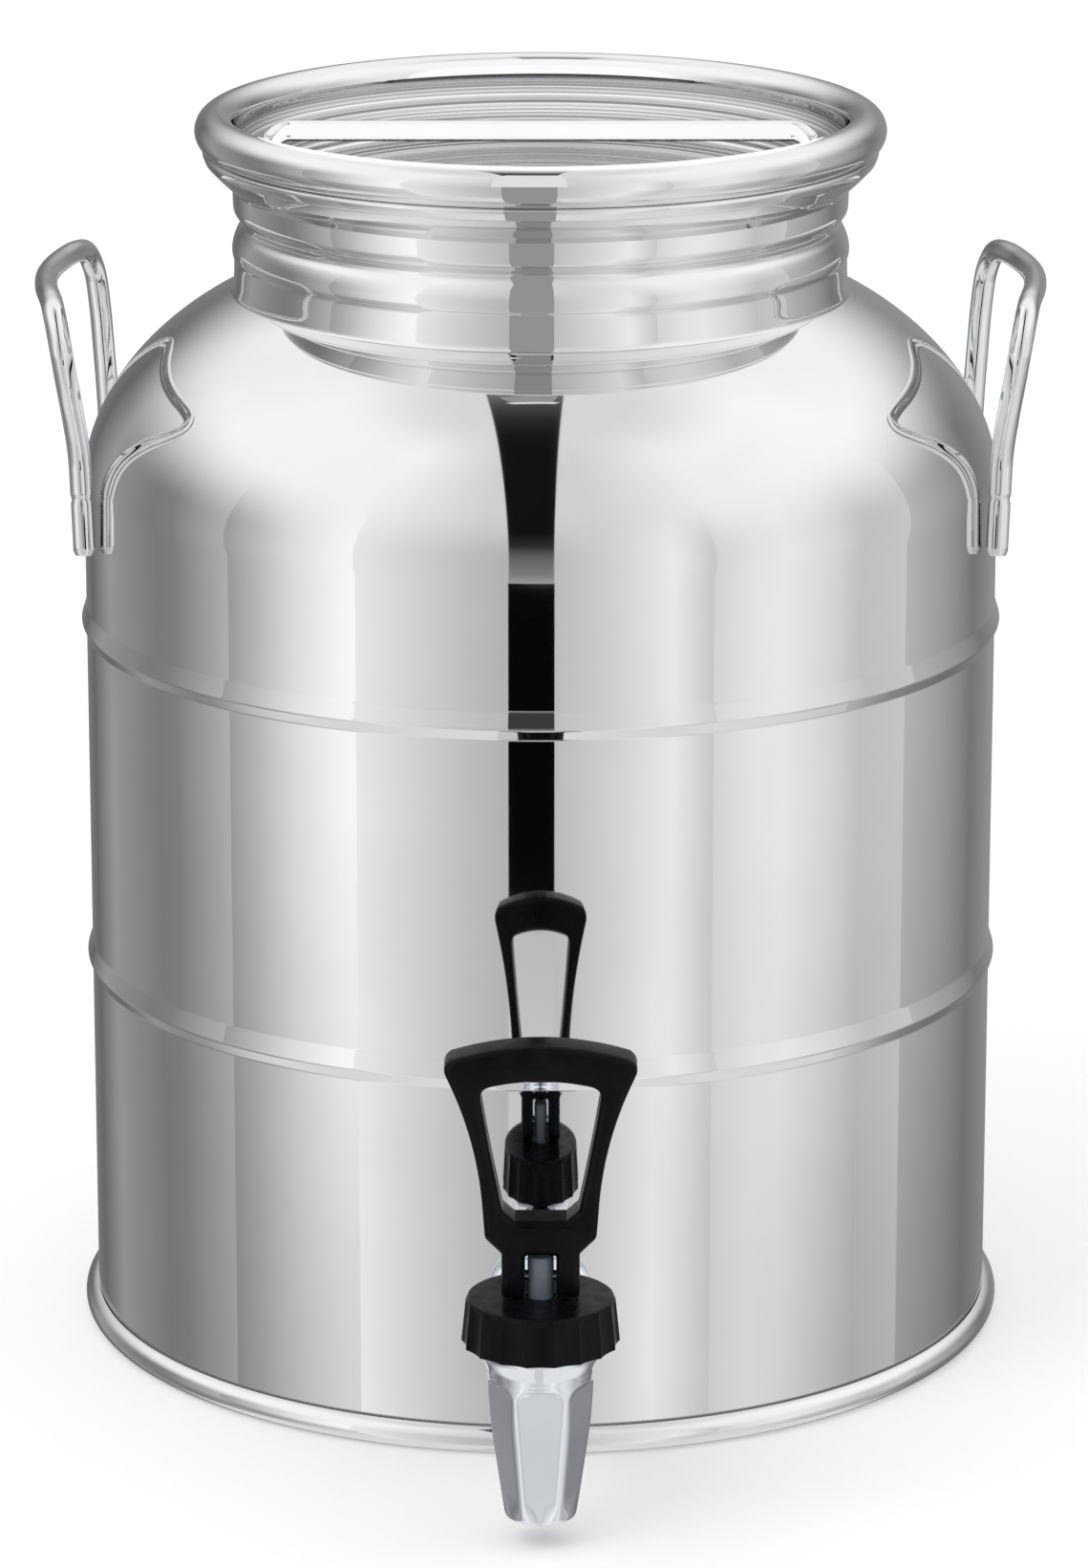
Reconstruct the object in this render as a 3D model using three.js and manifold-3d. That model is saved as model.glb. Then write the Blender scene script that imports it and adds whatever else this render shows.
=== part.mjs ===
// Polished stainless-steel milk can used as a drink dispenser: a beaded body, a domed shoulder and a
// rolled neck, a lift-off dished lid with a grab bar, two welded side handles, and a sprung faucet.
// Units are millimetres and +Z is up. The faucet points along -Y. The origin is on the floor, under
// the centre of the overall box, so the can's own axis stands CAN_Y behind it.

import * as THREE from 'three';
import { mergeVertices } from 'three/addons/utils/BufferGeometryUtils.js';
import Module from 'manifold-3d';

const wasm = await Module();
wasm.setup();

// ---------------------------------------------------------------- driving dimensions
const GAP = 0.3; // clearance between pieces that touch on the real object
const SHEET = 1.0; // sheet steel thickness
const ROUND_SIDES = 36; // facets round the can
const FAUCET_SIDES = 24; // facets round the faucet's pieces
const ROD_SIDES = 8;

// Foot and body
const BODY_R = 118;
const CURL_SIDES = 8; // a rolled edge is part of an eight-sided tube
const FOOT_CURL_R = 3.5;
const FOOT_RING_R = 117.9;
const BODY_FOOT_Z = 7.5;
const BODY_TOP_Z = 205;
const BEAD_HEIGHTS = [99.2, 189.0];
const BEAD_HALF_HEIGHT = 4.6;
const BEAD_DEPTH = 1.2;
const PAN_Z = 15;
const PAN_SKIRT = 2.4;

// Shoulder: a superellipse from the wall to the neck
const DOME_START_Z = 225.1;
const DOME_RISE = 56.5;
const DOME_REACH = 70.5;
const DOME_POWER = 1.824;
const DOME_STEPS = 7;

// Neck and mouth
const NECK_R = 79.0;
const NECK_FOOT_Z = 272.2;
const GROOVE_R = 76.5;
const GROOVE_Z = 291.8;
const MOUTH_Z = 309.7;
const MOUTH_UNDER_Z = 301.6;
const MOUTH_LIP_Z = 310.3; // the outer lip stands round the foot of the lid's curl
const MOUTH_R = 86.6;

// Lid
const LID_CURL_R = 5.3;
const LID_RING_R = 83.1;
const LID_RING_Z = 315.3;
const PLUG_R = 75.0;
const DISH_FLOOR_Z = 299;
const DISH_CORNER = 1.4;
const LID_BAR_R = 2.7;
const LID_BAR_Z = 314.5;
const LID_BAR_HALF = 69.5;
const LID_BAR_BEND = 5.5;
const LID_BAR_STEPS = 44;

// Side handles: one side of the loop as (forward, outward, up) from the can's axis
const HANDLE_ROD_R = 2.9;
const HANDLE_TURN = THREE.MathUtils.degToRad(1.7); // each loop's middle sits this far behind the side
const HANDLE_SIDE = [
  [39.3, 114.9, 212],
  [39.2, 115.3, 224],
  [39.0, 115.9, 238],
  [42.0, 116.9, 248.5],
  [46.0, 118.1, 259],
  [46.9, 119.3, 267.5],
  [42.5, 120.9, 273.6],
  [33.5, 122.6, 275.8],
  [17.0, 125.6, 276.4],
];
const HANDLE_TOP = [0, 126.9, 276.5];
const HANDLE_STEPS = 40;

// Faucet
const FAUCET_REACH = 58; // stem axis in front of the can's wall
const FAUCET_Y = -(BODY_R + FAUCET_REACH);
const SHANK_Z = 41;
const SHANK_R = 7.9;
const SHANK_BORE_R = 4.8;
const SHANK_HOLE_R = SHANK_R + GAP;
const SHANK_INNER_END = 16; // how far the shank stands inside the can
const ARM_R = 10;
const ARM_END = 26; // end of the faucet's arm, behind the stem axis
const ARM_SOCKET = 10.5;
const FLANGE_R = 14;
const FLANGE_THICKNESS = 3;
const WASHER_R = 12.5;
const WASHER_THICKNESS = 2.5;
const WALL_CURVE_ROOM = 1.2; // the curved wall falls back this far under the inner washer
const NUT_FLATS = 24;
const NUT_THICKNESS = 6;
const BONNET_Z = [51.4, 63.4];
const BONNET_R = [19.15, 17.9];
const BONNET_INNER_R = 14.9;
const BONNET_ROOF = 2.1;
const STEM_R = 3.15;
const STEM_Z = [38.3, 73.6];
const BOWL_R = 11.2;
const SEAT_R = 6.8;
const SPOUT_Z = 7;
const SPRING_R = 7;
const SPRING_WIRE_R = 0.7;
const SPRING_Z = [43.4, 59.8];
const SPRING_TURNS = 4;

// Lever, measured from its pin
const PIN_Z = 68.4;
const PIN_R = 1.25;
const PIN_LENGTH = 18.4;
const LEVER_LEAN = THREE.MathUtils.degToRad(3);
const LEVER_THICKNESS = 9.5;
const LEVER_BEVEL = 0.8;
const FORK_GAP = 8.4;

const FAUCET_FRONT = -FAUCET_Y + BONNET_R[0];
const CAN_Y = (FAUCET_FRONT - FOOT_RING_R - FOOT_CURL_R) / 2;

// ---------------------------------------------------------------- materials
const steel = new THREE.MeshStandardMaterial({ color: 0xc6c8cb, metalness: 1, roughness: 0.06 });
const brushed = new THREE.MeshStandardMaterial({ color: 0xb9bbbd, metalness: 1, roughness: 0.28 });
const chrome = new THREE.MeshStandardMaterial({ color: 0xd6d8dc, metalness: 1, roughness: 0.04 });
const blackPlastic = new THREE.MeshStandardMaterial({ color: 0x08080a, roughness: 0.28 });
const stemPlastic = new THREE.MeshStandardMaterial({ color: 0x9aa0a8, roughness: 0.45 });
const rubber = new THREE.MeshStandardMaterial({ color: 0x1b1b1d, roughness: 0.8 });
const silicone = new THREE.MeshStandardMaterial({ color: 0xd9d9d6, roughness: 0.6 });

// ---------------------------------------------------------------- helpers
const clean = (geometry) => {
  const copy = geometry.index ? geometry.toNonIndexed() : geometry.clone();
  copy.deleteAttribute('normal');
  copy.deleteAttribute('uv');
  return mergeVertices(copy, 1e-4);
};

const goodTriangles = (geometry) => {
  const index = geometry.index.array;
  const kept = [];
  for (let i = 0; i < index.length; i += 3) {
    const [a, b, c] = [index[i], index[i + 1], index[i + 2]];
    if (a !== b && b !== c && c !== a) kept.push(a, b, c);
  }
  return kept;
};

const signedVolume = (positions, triangles) => {
  const [a, b, c] = [new THREE.Vector3(), new THREE.Vector3(), new THREE.Vector3()];
  let volume = 0;
  for (let i = 0; i < triangles.length; i += 3) {
    a.fromArray(positions, 3 * triangles[i]);
    b.fromArray(positions, 3 * triangles[i + 1]);
    c.fromArray(positions, 3 * triangles[i + 2]);
    volume += a.dot(b.cross(c)) / 6;
  }
  return volume;
};

// One closed body with merged corners and its faces pointing out.
const closed = (geometry) => {
  const merged = clean(geometry);
  const triangles = goodTriangles(merged);
  if (signedVolume(merged.attributes.position.array, triangles) < 0) triangles.reverse();
  const body = new THREE.BufferGeometry();
  body.setAttribute('position', merged.attributes.position.clone());
  body.setIndex(triangles);
  body.computeVertexNormals();
  return body;
};

const toManifold = (geometry) => {
  const body = closed(geometry);
  return new wasm.Manifold(new wasm.Mesh({
    numProp: 3,
    vertProperties: new Float32Array(body.attributes.position.array),
    triVerts: new Uint32Array(body.index.array),
  }));
};

const fromManifold = (solid) => {
  const mesh = solid.getMesh();
  const body = new THREE.BufferGeometry();
  body.setAttribute('position', new THREE.BufferAttribute(new Float32Array(mesh.vertProperties), 3));
  body.setIndex(Array.from(mesh.triVerts));
  body.computeVertexNormals();
  return body;
};

// Turned piece about +Z. The profile is [radius, height] points and is closed back on itself
// unless it runs from axis to axis.
const turned = (profile, sides = ROUND_SIDES) => {
  const points = profile.map(([r, z]) => new THREE.Vector2(r, z));
  const onAxis = points[0].x === 0 && points[points.length - 1].x === 0;
  if (!onAxis) points.push(points[0].clone());
  const geometry = new THREE.LatheGeometry(points, sides);
  geometry.rotateX(Math.PI / 2);
  return geometry;
};

// The same about an axis along +Y at the shank's height: the profile is [radius, y].
const turnedAlongY = (profile, sides = FAUCET_SIDES) => {
  const geometry = turned(profile, sides);
  geometry.rotateX(-Math.PI / 2);
  geometry.translate(0, 0, SHANK_Z);
  return geometry;
};

const circle = (radius, sides) => {
  const points = [];
  for (let i = 0; i < sides; i += 1) {
    const angle = (2 * Math.PI * i) / sides;
    points.push(new THREE.Vector2(radius * Math.cos(angle), radius * Math.sin(angle)));
  }
  return new THREE.Shape(points);
};

const rod = (curve, radius, steps, sides = ROD_SIDES) =>
  new THREE.ExtrudeGeometry(circle(radius, sides), { steps, bevelEnabled: false, extrudePath: curve });

// A rolled edge: part of a many-sided tube of sheet, open between its two ends.
// Corners sit half a side off the axes, so the tube has a flat at the bottom and at each side.
const curl = (ringR, ringZ, tubeR, firstCorner, corners) => {
  const arc = (inset) => {
    const cornerR = (tubeR - inset) / Math.cos(Math.PI / CURL_SIDES);
    const points = [];
    for (let i = 0; i < corners; i += 1) {
      const angle = (2 * Math.PI * (firstCorner + i + 0.5)) / CURL_SIDES;
      points.push([ringR + cornerR * Math.cos(angle), ringZ + cornerR * Math.sin(angle)]);
    }
    return points;
  };
  return turned([...arc(0), ...arc(SHEET).reverse()]);
};

const thicken = (outer, thickness) => [
  ...outer,
  ...outer.map(([r, z]) => [r - thickness, z]).reverse(),
];

const named = (name, geometry, material) => {
  const mesh = new THREE.Mesh(geometry, material);
  mesh.name = name;
  return mesh;
};

// ---------------------------------------------------------------- can
const bodyShell = () => {
  const outer = [[BODY_R, BODY_FOOT_Z]];
  for (const z of BEAD_HEIGHTS) {
    outer.push([BODY_R, z - BEAD_HALF_HEIGHT], [BODY_R + BEAD_DEPTH, z], [BODY_R, z + BEAD_HALF_HEIGHT]);
  }
  outer.push([BODY_R, BODY_TOP_Z]);
  const wall = toManifold(turned(thicken(outer, SHEET)));
  const hole = turnedAlongY([[0, -BODY_R - 10], [SHANK_HOLE_R, -BODY_R - 10],
    [SHANK_HOLE_R, -BODY_R + 10], [0, -BODY_R + 10]]);
  return fromManifold(wall.subtract(toManifold(hole)));
};

const domePoint = (t) => [
  BODY_R - DOME_REACH + DOME_REACH * Math.cos(t) ** (2 / DOME_POWER),
  DOME_START_Z + DOME_RISE * Math.sin(t) ** (2 / DOME_POWER),
];

const shoulderDome = () => {
  const neckHole = NECK_R + GAP;
  const endCos = ((neckHole - BODY_R + DOME_REACH) / DOME_REACH) ** (DOME_POWER / 2);
  const end = Math.acos(endCos);
  const outer = [[BODY_R, BODY_TOP_Z + GAP]];
  const inner = [[BODY_R - SHEET, BODY_TOP_Z + GAP]];
  for (let i = 0; i <= DOME_STEPS; i += 1) {
    const t = (end * i) / DOME_STEPS;
    const [r, z] = domePoint(t);
    outer.push([r, z]);
    inner.push([r - SHEET * Math.cos(t) * (i < DOME_STEPS ? 1 : 0), z - SHEET * Math.sin(t) * 1.2]);
  }
  return closed(turned([...outer, ...inner.reverse()]));
};

const neckCollar = () => {
  const outer = [
    [NECK_R, NECK_FOOT_Z],
    [NECK_R - 0.4, 283],
    [NECK_R + 0.2, 288],
    [GROOVE_R, GROOVE_Z],
    [NECK_R, 298.5],
    [NECK_R, MOUTH_Z],
  ];
  return closed(turned(thicken(outer, SHEET)));
};

const mouthRim = () => closed(turned([
  [NECK_R + GAP, MOUTH_UNDER_Z],
  [82.6, 304.8],
  [85.6, 308.4],
  [MOUTH_R, MOUTH_LIP_Z],
  [84.9, MOUTH_Z],
  [NECK_R + GAP, MOUTH_Z],
]));

const bottomPan = () => {
  const rimR = BODY_R - SHEET - GAP;
  return closed(turned([
    [0, PAN_Z],
    [rimR, PAN_Z],
    [rimR, PAN_Z - PAN_SKIRT],
    [rimR - SHEET, PAN_Z - PAN_SKIRT],
    [rimR - SHEET, PAN_Z - SHEET],
    [0, PAN_Z - SHEET],
  ]));
};

const footRing = () => closed(curl(FOOT_RING_R, FOOT_CURL_R, FOOT_CURL_R, -4, 7));

// ---------------------------------------------------------------- side handles
const sideHandle = (side) => {
  const place = ([forward, outward, up], mirror) => {
    const along = mirror * forward;
    const x = outward * Math.cos(HANDLE_TURN) + along * Math.sin(HANDLE_TURN);
    const y = outward * Math.sin(HANDLE_TURN) - along * Math.cos(HANDLE_TURN);
    return new THREE.Vector3(side * x, y, up);
  };
  const front = HANDLE_SIDE.map((point) => place(point, 1));
  const rear = HANDLE_SIDE.map((point) => place(point, -1)).reverse();
  const curve = new THREE.CatmullRomCurve3([...front, place(HANDLE_TOP, 1), ...rear]);
  return closed(rod(curve, HANDLE_ROD_R, HANDLE_STEPS));
};

// ---------------------------------------------------------------- lid
const lidRim = () => closed(curl(LID_RING_R, LID_RING_Z, LID_CURL_R, -4, 8));

const lidPan = () => {
  const lipR = LID_RING_R - LID_CURL_R - GAP;
  return closed(turned([
    [0, DISH_FLOOR_Z],
    [PLUG_R - SHEET - DISH_CORNER, DISH_FLOOR_Z],
    [PLUG_R - SHEET, DISH_FLOOR_Z + DISH_CORNER],
    [PLUG_R - SHEET, 310],
    [lipR - SHEET, LID_RING_Z],
    [lipR, LID_RING_Z],
    [lipR, 312.5],
    [PLUG_R, 309.6],
    [PLUG_R, DISH_FLOOR_Z + DISH_CORNER - SHEET],
    [PLUG_R - DISH_CORNER, DISH_FLOOR_Z - SHEET],
    [0, DISH_FLOOR_Z - SHEET],
  ]));
};

const lidBar = () => {
  const footZ = DISH_FLOOR_Z + GAP;
  const bendX = LID_BAR_HALF - LID_BAR_BEND;
  const bendZ = LID_BAR_Z - LID_BAR_BEND;
  const point = (x, z) => new THREE.Vector3(x, 0, z);
  const path = new THREE.CurvePath();
  path.add(new THREE.LineCurve3(point(-LID_BAR_HALF, footZ), point(-LID_BAR_HALF, bendZ)));
  path.add(new THREE.QuadraticBezierCurve3(
    point(-LID_BAR_HALF, bendZ), point(-LID_BAR_HALF, LID_BAR_Z), point(-bendX, LID_BAR_Z)));
  path.add(new THREE.LineCurve3(point(-bendX, LID_BAR_Z), point(bendX, LID_BAR_Z)));
  path.add(new THREE.QuadraticBezierCurve3(
    point(bendX, LID_BAR_Z), point(LID_BAR_HALF, LID_BAR_Z), point(LID_BAR_HALF, bendZ)));
  path.add(new THREE.LineCurve3(point(LID_BAR_HALF, bendZ), point(LID_BAR_HALF, footZ)));
  return closed(rod(path, LID_BAR_R, LID_BAR_STEPS));
};

const lidSeal = () => closed(turned([
  [PLUG_R + GAP, 301],
  [NECK_R - SHEET - GAP, 302.5],
  [NECK_R - SHEET - GAP, 304.5],
  [PLUG_R + GAP, 305],
]));

// ---------------------------------------------------------------- faucet, fixed pieces
const faucetBody = () => {
  const outside = toManifold(turned([
    [0, SPOUT_Z], [8.0, SPOUT_Z], [8.7, SPOUT_Z + 0.7], [9.4, 12], [11.2, 25.2], [12.1, 31.5],
    [12.8, 40], [13.2, 45], [15.2, 49.8], [15.2, BONNET_Z[0] - 0.4], [BONNET_INNER_R - 0.4, BONNET_Z[0] - 0.4],
    [BONNET_INNER_R - 0.4, BONNET_Z[1] - BONNET_ROOF - GAP], [0, BONNET_Z[1] - BONNET_ROOF - GAP],
  ], FAUCET_SIDES));
  const inside = toManifold(turned([
    [0, SPOUT_Z - 1], [6.4, SPOUT_Z - 1], [SEAT_R, 33], [BOWL_R, 38], [BOWL_R, BONNET_Z[1]], [0, BONNET_Z[1]],
  ], FAUCET_SIDES));
  const arm = toManifold(turnedAlongY([[0, 0], [ARM_R, 0], [ARM_R, ARM_END], [0, ARM_END]]));
  const port = toManifold(turnedAlongY([[0, 0], [SHANK_BORE_R, 0], [SHANK_BORE_R, ARM_END], [0, ARM_END]]));
  const socket = toManifold(turnedAlongY([
    [0, ARM_END - ARM_SOCKET], [SHANK_HOLE_R, ARM_END - ARM_SOCKET], [SHANK_HOLE_R, ARM_END + 1], [0, ARM_END + 1],
  ]));
  const solid = outside.add(arm).subtract(inside).subtract(port).subtract(socket);
  return fromManifold(solid);
};

const ringAlongY = (innerR, outerR, yFront, yRear, sides = FAUCET_SIDES) =>
  closed(turnedAlongY([[innerR, yFront], [outerR, yFront], [outerR, yRear], [innerR, yRear]], sides));

const shankFlange = (yRear) => closed(turnedAlongY([
  [SHANK_HOLE_R, yRear - FLANGE_THICKNESS],
  [FLANGE_R - 2.5, yRear - FLANGE_THICKNESS],
  [FLANGE_R, yRear - 1],
  [FLANGE_R, yRear],
  [SHANK_HOLE_R, yRear],
]));

const shankNut = (yFront) => {
  const cornerR = NUT_FLATS / 2 / Math.cos(Math.PI / 6);
  const block = toManifold(turnedAlongY(
    [[0, yFront], [cornerR, yFront], [cornerR, yFront + NUT_THICKNESS], [0, yFront + NUT_THICKNESS]], 6));
  const hole = toManifold(turnedAlongY(
    [[0, yFront - 1], [SHANK_HOLE_R, yFront - 1], [SHANK_HOLE_R, yFront + NUT_THICKNESS + 1],
      [0, yFront + NUT_THICKNESS + 1]]));
  return fromManifold(block.subtract(hole));
};

const bonnetCollar = () => closed(turned([
  [BONNET_INNER_R, BONNET_Z[0]],
  [BONNET_R[0], BONNET_Z[0]],
  [BONNET_R[1], BONNET_Z[1]],
  [STEM_R + 0.5, BONNET_Z[1]],
  [STEM_R + 0.5, BONNET_Z[1] - BONNET_ROOF],
  [BONNET_INNER_R, BONNET_Z[1] - BONNET_ROOF],
], FAUCET_SIDES));

class Helix extends THREE.Curve {
  getPoint(t, target = new THREE.Vector3()) {
    const angle = 2 * Math.PI * SPRING_TURNS * t;
    const z = THREE.MathUtils.lerp(SPRING_Z[0], SPRING_Z[1], t);
    return target.set(SPRING_R * Math.cos(angle), SPRING_R * Math.sin(angle), z);
  }
}

const closingSpring = () => closed(rod(new Helix(), SPRING_WIRE_R, 10 * SPRING_TURNS, 5));

// ---------------------------------------------------------------- faucet, moving pieces
const crossBore = (radius, halfLength, z) => {
  const geometry = new THREE.CylinderGeometry(radius, radius, 2 * halfLength, 12);
  geometry.rotateZ(Math.PI / 2);
  geometry.translate(0, 0, z);
  return geometry;
};

const valveStem = () => {
  const stem = turned([[0, STEM_Z[0]], [STEM_R, STEM_Z[0]], [STEM_R, STEM_Z[1]], [0, STEM_Z[1]]], 16);
  return fromManifold(toManifold(stem).subtract(toManifold(crossBore(PIN_R + GAP, STEM_R + 1, PIN_Z))));
};

const seatCup = () => closed(turned([
  [0, 33.6], [5.5, 34], [9.2, 36.4], [9.2, 39], [5.2, 42], [STEM_R + GAP, 42],
  [STEM_R + GAP, STEM_Z[0] - GAP], [0, STEM_Z[0] - GAP],
], FAUCET_SIDES));

const leverPin = () => closed(crossBore(PIN_R, PIN_LENGTH / 2, PIN_Z));

// Outline of the lever seen from the front, with the fork that straddles the stem at its foot.
const leverShape = () => {
  const shape = new THREE.Shape();
  shape.moveTo(FORK_GAP / 2, -4.3);
  shape.lineTo(9.4, -4.3);
  shape.lineTo(9.4, 6.7);
  shape.lineTo(13.4, 10.9);
  shape.lineTo(13.9, 17.6);
  shape.quadraticCurveTo(15.0, 36, 22.6, 52.2);
  shape.quadraticCurveTo(23.6, 54.6, 21.2, 56.4);
  shape.quadraticCurveTo(0, 63.4, -21.2, 56.4);
  shape.quadraticCurveTo(-23.6, 54.6, -22.6, 52.2);
  shape.quadraticCurveTo(-15.0, 36, -13.9, 17.6);
  shape.lineTo(-13.4, 10.9);
  shape.lineTo(-9.4, 6.7);
  shape.lineTo(-9.4, -4.3);
  shape.lineTo(-FORK_GAP / 2, -4.3);
  shape.lineTo(-FORK_GAP / 2, 6.4);
  shape.lineTo(FORK_GAP / 2, 6.4);
  const opening = new THREE.Path();
  opening.moveTo(6.2, 15.5);
  opening.lineTo(9.1, 18.1);
  opening.lineTo(14.2, 46.4);
  opening.quadraticCurveTo(14.6, 48.6, 12.0, 49.6);
  opening.quadraticCurveTo(0, 52.4, -12.0, 49.6);
  opening.quadraticCurveTo(-14.6, 48.6, -14.2, 46.4);
  opening.lineTo(-9.1, 18.1);
  opening.lineTo(-6.2, 15.5);
  shape.holes.push(opening);
  return shape;
};

const lever = () => {
  const plate = new THREE.ExtrudeGeometry(leverShape(), {
    depth: LEVER_THICKNESS - 2 * LEVER_BEVEL,
    curveSegments: 5,
    bevelThickness: LEVER_BEVEL,
    bevelSize: LEVER_BEVEL,
    bevelOffset: -LEVER_BEVEL,
    bevelSegments: 1,
  });
  plate.translate(0, 0, LEVER_BEVEL - LEVER_THICKNESS / 2);
  plate.rotateX(Math.PI / 2);
  return fromManifold(toManifold(plate).subtract(toManifold(crossBore(PIN_R + GAP, 12, 0))));
};

// ---------------------------------------------------------------- assembly
const can = new THREE.Group();
can.position.y = CAN_Y;

can.add(named('body_shell', bodyShell(), steel));
can.add(named('shoulder_dome', shoulderDome(), steel));
can.add(named('neck_collar', neckCollar(), steel));
can.add(named('mouth_rim', mouthRim(), steel));
can.add(named('bottom_pan', bottomPan(), brushed));
can.add(named('foot_ring', footRing(), steel));
can.add(named('handle_left', sideHandle(-1), steel));
can.add(named('handle_right', sideHandle(1), steel));

can.add(named('lid_rim', lidRim(), steel));
can.add(named('lid_pan', lidPan(), steel));
can.add(named('lid_bar', lidBar(), steel));
can.add(named('lid_seal', lidSeal(), silicone));

// Stack of shank pieces through the wall, from the outside in.
const outerWasherRear = -BODY_R - GAP;
const outerWasherFront = outerWasherRear - WASHER_THICKNESS;
const innerWasherFront = -BODY_R + SHEET + WALL_CURVE_ROOM;
const nutFront = innerWasherFront + WASHER_THICKNESS + GAP;
const shankFront = FAUCET_Y + ARM_END - ARM_SOCKET + GAP;
can.add(named('faucet_shank', ringAlongY(SHANK_BORE_R, SHANK_R, shankFront, -BODY_R + SHANK_INNER_END), chrome));
can.add(named('shank_flange', shankFlange(outerWasherFront - GAP), chrome));
can.add(named('outer_washer', ringAlongY(SHANK_HOLE_R, WASHER_R, outerWasherFront, outerWasherRear), rubber));
can.add(named('inner_washer',
  ringAlongY(SHANK_HOLE_R, WASHER_R, innerWasherFront, innerWasherFront + WASHER_THICKNESS), rubber));
can.add(named('shank_nut', shankNut(nutFront), steel));

const faucet = new THREE.Group();
faucet.position.y = FAUCET_Y;
faucet.add(named('faucet_body', faucetBody(), chrome));
faucet.add(named('bonnet_collar', bonnetCollar(), blackPlastic));
faucet.add(named('closing_spring', closingSpring(), steel));
faucet.add(named('valve_stem', valveStem(), stemPlastic));
faucet.add(named('seat_cup', seatCup(), silicone));
faucet.add(named('lever_pin', leverPin(), steel));

const leverHinge = new THREE.Group();
leverHinge.position.z = PIN_Z;
leverHinge.rotation.x = LEVER_LEAN;
leverHinge.add(named('lever', lever(), blackPlastic));
faucet.add(leverHinge);
can.add(faucet);

const milkCan = new THREE.Group();
milkCan.add(can);

export default milkCan;
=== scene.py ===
"""Mirror-polished steel milk can with a lift-off dished lid, two side handles and a sprung faucet.

Every CAD node is replaced by a finer mesh of the same size: turned
pieces with rolled edges, swept rods, a fluted bonnet, a spout with six flats and a moulded lever.
Lengths in the pieces are millimetres, measured from the can's axis or from the faucet's stem axis.
"""

import math

import bmesh
import bpy
import numpy as np
from mathutils import Matrix, Vector


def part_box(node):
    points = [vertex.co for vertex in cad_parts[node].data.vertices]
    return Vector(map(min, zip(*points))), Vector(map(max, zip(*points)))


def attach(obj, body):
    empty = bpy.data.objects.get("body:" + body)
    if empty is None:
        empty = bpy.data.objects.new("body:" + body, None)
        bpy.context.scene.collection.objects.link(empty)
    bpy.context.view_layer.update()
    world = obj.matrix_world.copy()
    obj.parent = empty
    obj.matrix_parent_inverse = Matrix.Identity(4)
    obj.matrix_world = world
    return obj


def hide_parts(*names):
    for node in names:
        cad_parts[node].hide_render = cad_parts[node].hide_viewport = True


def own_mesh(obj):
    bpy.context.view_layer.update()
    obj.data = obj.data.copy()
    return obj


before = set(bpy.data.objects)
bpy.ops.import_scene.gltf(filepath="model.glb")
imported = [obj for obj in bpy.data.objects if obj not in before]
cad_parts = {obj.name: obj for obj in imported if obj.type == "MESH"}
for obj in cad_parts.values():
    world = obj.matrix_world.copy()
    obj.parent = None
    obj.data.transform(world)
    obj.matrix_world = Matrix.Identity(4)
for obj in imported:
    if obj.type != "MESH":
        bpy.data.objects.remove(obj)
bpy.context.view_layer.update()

MM = 0.001


# ---------------------------------------------------------------- places and sizes from the frame
def middle(node):
    low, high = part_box(node)
    return (low + high) / 2


def half_width(node):
    low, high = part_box(node)
    return (high.x - low.x) / 2 / MM


def bottom(node):
    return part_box(node)[0].z / MM


def top(node):
    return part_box(node)[1].z / MM


CAN_AXIS = Vector((0, middle("shoulder_dome").y, 0))
STEM_AXIS = Vector((0, middle("valve_stem").y, 0))
BODY_R = half_width("shoulder_dome")
SEAM_Z = (top("body_shell") + bottom("shoulder_dome")) / 2
SHEET = 1.0
ROUND_SIDES = 288
FAUCET_SIDES = 144
ARC_STEP = math.radians(9)


# ---------------------------------------------------------------- outlines
def rounded(corners, closed=True):
    """Points of an outline with its corners (a, b, fillet radius) rounded. A corner without a radius
    stays sharp."""
    points = []
    count = len(corners)
    for i, corner in enumerate(corners):
        here = Vector(corner[:2])
        at_end = not closed and i in (0, count - 1)
        if len(corner) < 3 or at_end:
            points.append(here)
            continue
        before = (Vector(corners[i - 1][:2]) - here).normalized()
        after = (Vector(corners[(i + 1) % count][:2]) - here).normalized()
        half = before.angle(after) / 2
        centre = here + (before + after).normalized() * corner[2] / math.sin(half)
        start = here + before * corner[2] / math.tan(half) - centre
        turn = math.copysign(math.pi - 2 * half, before.x * after.y - before.y * after.x)
        steps = max(2, math.ceil(abs(turn) / ARC_STEP))
        for k in range(steps + 1):
            points.append(centre + Matrix.Rotation(-turn * k / steps, 2) @ start)
    return [tuple(p) for p in points]


def arc(centre, radius, start, end, step=ARC_STEP):
    """Points of a circular arc, from one angle to another in degrees."""
    steps = max(2, math.ceil(abs(math.radians(end - start)) / step))
    angles = [math.radians(start + (end - start) * k / steps) for k in range(steps + 1)]
    return [(centre[0] + radius * math.cos(a), centre[1] + radius * math.sin(a)) for a in angles]


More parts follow.
